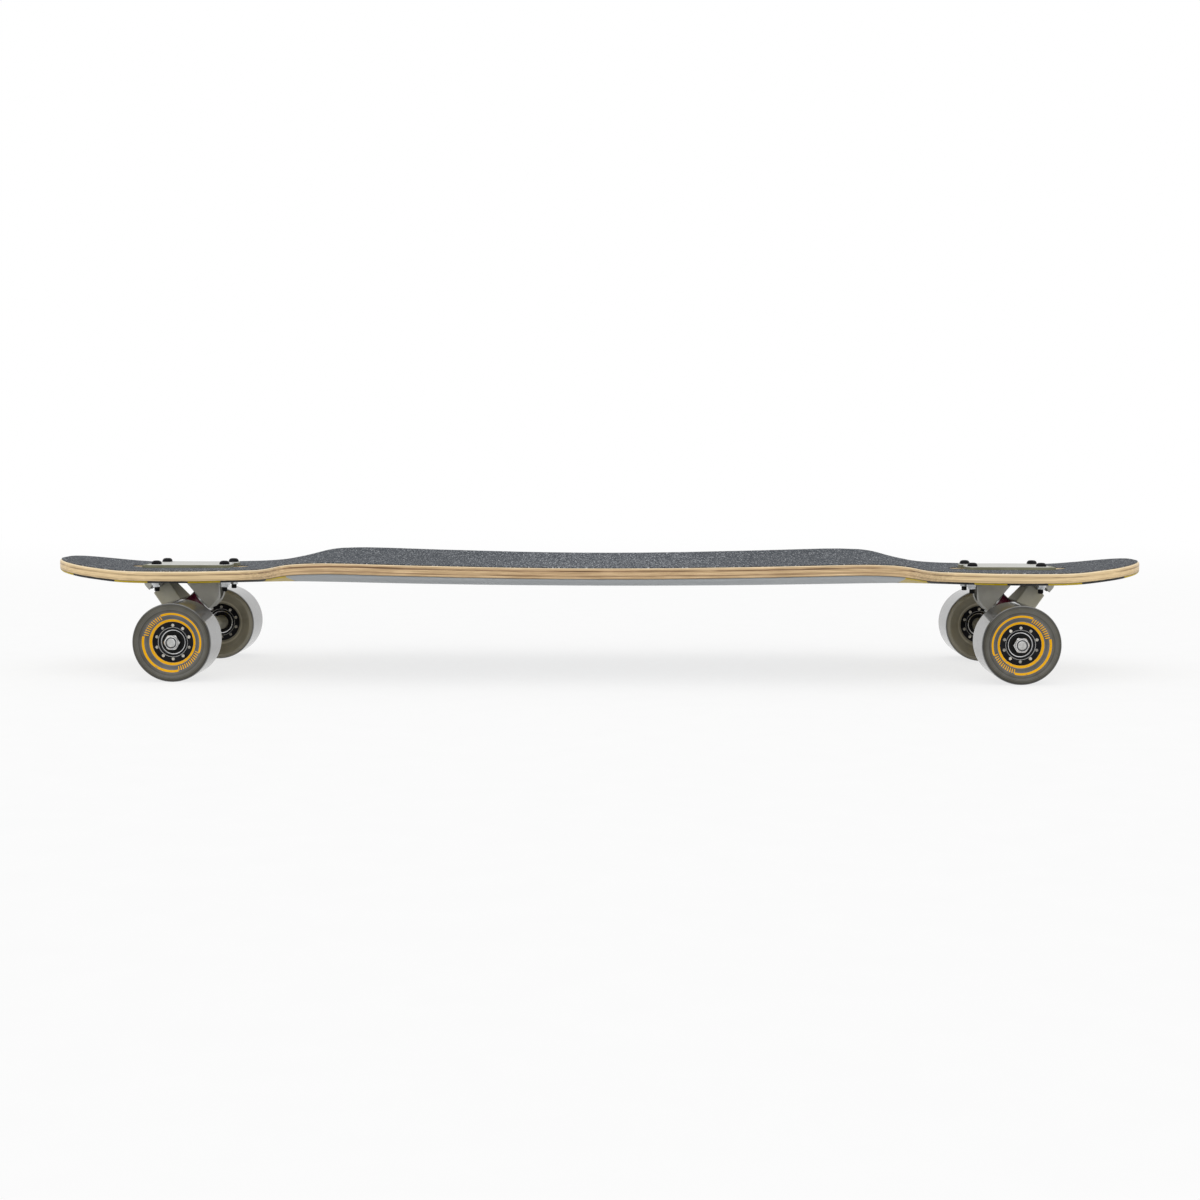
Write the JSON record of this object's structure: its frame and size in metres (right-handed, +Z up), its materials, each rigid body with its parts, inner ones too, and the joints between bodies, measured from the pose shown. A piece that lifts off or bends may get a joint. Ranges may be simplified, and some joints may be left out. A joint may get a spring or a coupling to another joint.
{
  "type": "longboard skateboard",
  "caption": "Waisted longboard deck with narrow necks at the wheels, grip top, drop-through steering trucks, sprung bushings and soft translucent wheels on ball bearings.",
  "frame": {"origin": "on the ground, under the middle of the board", "axes": "+X along the board towards the front truck, +Y left, +Z up"},
  "size_m": [1.0064, 0.2698, 0.1073],
  "materials": {
    "maple_ply": "satin lacquered ply edge",
    "grip": "coarse grit",
    "cast_aluminium": "satin cast",
    "cup_urethane": "matte",
    "zinc_steel": "zinc plated",
    "bushing_urethane": "satin",
    "black_steel": "black oxide",
    "bearing_steel": "ground",
    "wheel_urethane": "smoky translucent",
    "core_plastic": "moulded",
    "shield_rubber": "moulded",
    "cage_nylon": "moulded"
  },
  "bodies": {
    "board": {"deck": "maple_ply", "grip_tape": "grip", "front_baseplate": "cast_aluminium", "front_pivot_cup": "cup_urethane", "front_kingpin": "zinc_steel", "front_kingpin_nut": "zinc_steel", "front_flat_washer": "zinc_steel", "front_cup_washer": "zinc_steel", "front_board_bushing": "bushing_urethane", "front_road_bushing": "bushing_urethane", "front_mounting_bolts": "black_steel", "front_mounting_washers": "zinc_steel", "front_mounting_nuts": "zinc_steel", "rear_baseplate": "cast_aluminium", "rear_pivot_cup": "cup_urethane", "rear_kingpin": "zinc_steel", "rear_kingpin_nut": "zinc_steel", "rear_flat_washer": "zinc_steel", "rear_cup_washer": "zinc_steel", "rear_board_bushing": "bushing_urethane", "rear_road_bushing": "bushing_urethane", "rear_mounting_bolts": "black_steel", "rear_mounting_washers": "zinc_steel", "rear_mounting_nuts": "zinc_steel"},
    "front_hanger": {"front_hanger": "cast_aluminium", "front_axle": "zinc_steel", "front_speed_washers": "zinc_steel", "front_bearing_spacers": "zinc_steel", "front_bearing_inner_rings": "bearing_steel", "front_axle_nuts": "zinc_steel"},
    "front_left_wheel": {"front_left_tyre": "wheel_urethane", "front_left_core": "core_plastic", "front_left_bearing_outer_rings": "bearing_steel", "front_left_bearing_shields": "shield_rubber"},
    "front_left_balls": {"front_left_bearing_balls": "bearing_steel", "front_left_bearing_cages": "cage_nylon"},
    "front_right_wheel": {"front_right_tyre": "wheel_urethane", "front_right_core": "core_plastic", "front_right_bearing_outer_rings": "bearing_steel", "front_right_bearing_shields": "shield_rubber"},
    "front_right_balls": {"front_right_bearing_balls": "bearing_steel", "front_right_bearing_cages": "cage_nylon"},
    "rear_hanger": {"rear_hanger": "cast_aluminium", "rear_axle": "zinc_steel", "rear_speed_washers": "zinc_steel", "rear_bearing_spacers": "zinc_steel", "rear_bearing_inner_rings": "bearing_steel", "rear_axle_nuts": "zinc_steel"},
    "rear_left_wheel": {"rear_left_tyre": "wheel_urethane", "rear_left_core": "core_plastic", "rear_left_bearing_outer_rings": "bearing_steel", "rear_left_bearing_shields": "shield_rubber"},
    "rear_left_balls": {"rear_left_bearing_balls": "bearing_steel", "rear_left_bearing_cages": "cage_nylon"},
    "rear_right_wheel": {"rear_right_tyre": "wheel_urethane", "rear_right_core": "core_plastic", "rear_right_bearing_outer_rings": "bearing_steel", "rear_right_bearing_shields": "shield_rubber"},
    "rear_right_balls": {"rear_right_bearing_balls": "bearing_steel", "rear_right_bearing_cages": "cage_nylon"}
  },
  "joints": [
    {"name": "front_steer", "type": "hinge", "parent": "board", "child": "front_hanger", "pos_m": [0.375, 0, 0.035], "axis": [0.6428, 0, 0.766], "range_deg": [-15, 15], "stiffness_Nm_per_rad": 45, "deforming": ["front_board_bushing", "front_road_bushing"]},
    {"name": "front_left_spin", "type": "hinge", "parent": "front_hanger", "child": "front_left_wheel", "pos_m": [0.375, 0.0985, 0.035], "axis": [0, 1, 0], "continuous": true},
    {"name": "front_left_balls_spin", "type": "hinge", "parent": "front_hanger", "child": "front_left_balls", "pos_m": [0.375, 0.0985, 0.035], "axis": [0, 1, 0], "continuous": true},
    {"name": "front_right_spin", "type": "hinge", "parent": "front_hanger", "child": "front_right_wheel", "pos_m": [0.375, -0.0985, 0.035], "axis": [0, 1, 0], "continuous": true},
    {"name": "front_right_balls_spin", "type": "hinge", "parent": "front_hanger", "child": "front_right_balls", "pos_m": [0.375, -0.0985, 0.035], "axis": [0, 1, 0], "continuous": true},
    {"name": "rear_steer", "type": "hinge", "parent": "board", "child": "rear_hanger", "pos_m": [-0.375, 0, 0.035], "axis": [-0.6428, 0, 0.766], "range_deg": [-15, 15], "stiffness_Nm_per_rad": 45, "deforming": ["rear_board_bushing", "rear_road_bushing"]},
    {"name": "rear_left_spin", "type": "hinge", "parent": "rear_hanger", "child": "rear_left_wheel", "pos_m": [-0.375, 0.0985, 0.035], "axis": [0, 1, 0], "continuous": true},
    {"name": "rear_left_balls_spin", "type": "hinge", "parent": "rear_hanger", "child": "rear_left_balls", "pos_m": [-0.375, 0.0985, 0.035], "axis": [0, 1, 0], "continuous": true},
    {"name": "rear_right_spin", "type": "hinge", "parent": "rear_hanger", "child": "rear_right_wheel", "pos_m": [-0.375, -0.0985, 0.035], "axis": [0, 1, 0], "continuous": true},
    {"name": "rear_right_balls_spin", "type": "hinge", "parent": "rear_hanger", "child": "rear_right_balls", "pos_m": [-0.375, -0.0985, 0.035], "axis": [0, 1, 0], "continuous": true}
  ],
  "couplings": [
    {"joint": "front_left_balls_spin", "follows": "front_left_spin", "ratio": 0.63227},
    {"joint": "front_right_balls_spin", "follows": "front_right_spin", "ratio": 0.63227},
    {"joint": "rear_left_balls_spin", "follows": "rear_left_spin", "ratio": 0.63227},
    {"joint": "rear_right_balls_spin", "follows": "rear_right_spin", "ratio": 0.63227}
  ]
}
